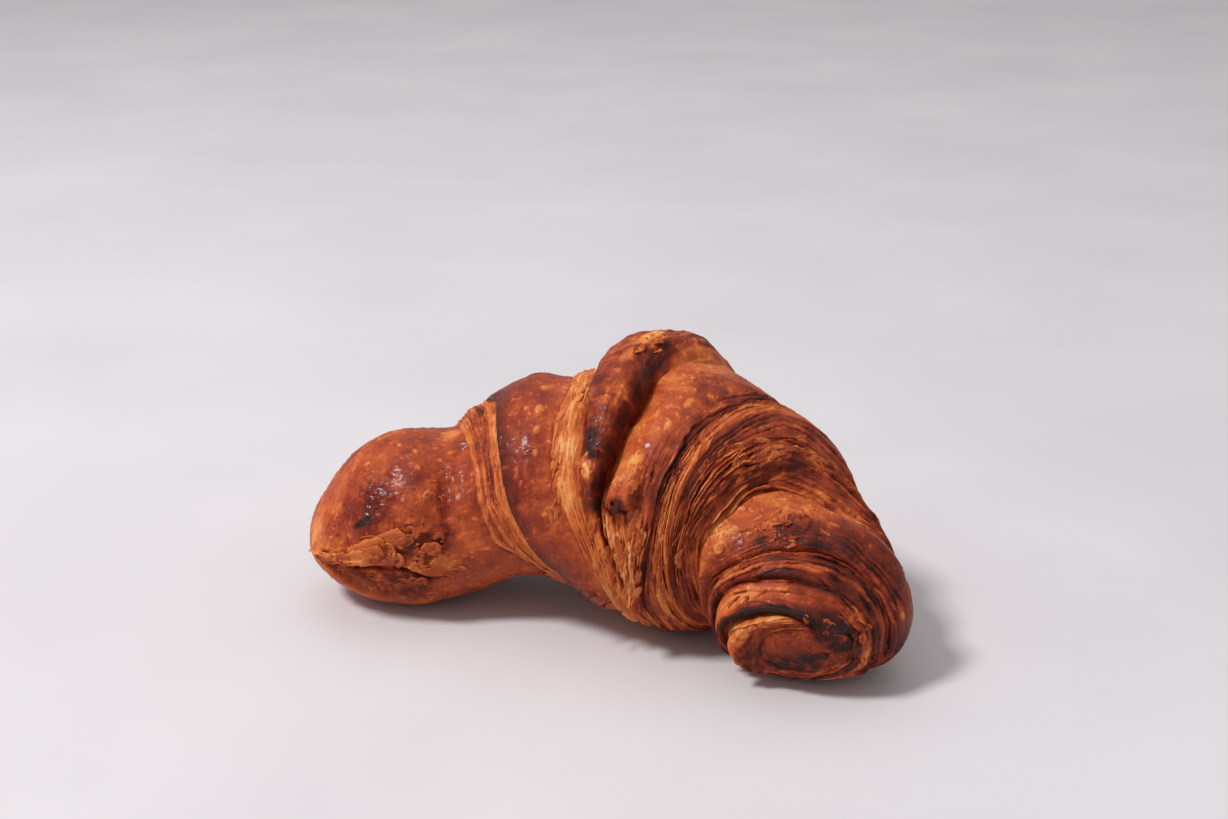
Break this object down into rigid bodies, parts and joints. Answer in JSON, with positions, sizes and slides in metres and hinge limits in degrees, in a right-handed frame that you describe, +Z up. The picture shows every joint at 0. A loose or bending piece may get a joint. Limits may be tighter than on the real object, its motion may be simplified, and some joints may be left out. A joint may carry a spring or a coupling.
{
  "type": "croissant",
  "caption": "Curved, rolled and deeply browned flaky pastry with a raised tongue over its middle and a rounded lobe at each end.",
  "frame": {"origin": "centre of the bounding box in plan, on the flat underside", "axes": "+X from the left tip to the right tip, +Y towards the rounded back, +Z up; the hollow side of the crescent faces -Y"},
  "size_m": [0.1658, 0.0794, 0.0737],
  "materials": {
    "crust": "satin"
  },
  "bodies": {
    "root": {"croissant": "crust"}
  },
  "joints": []
}
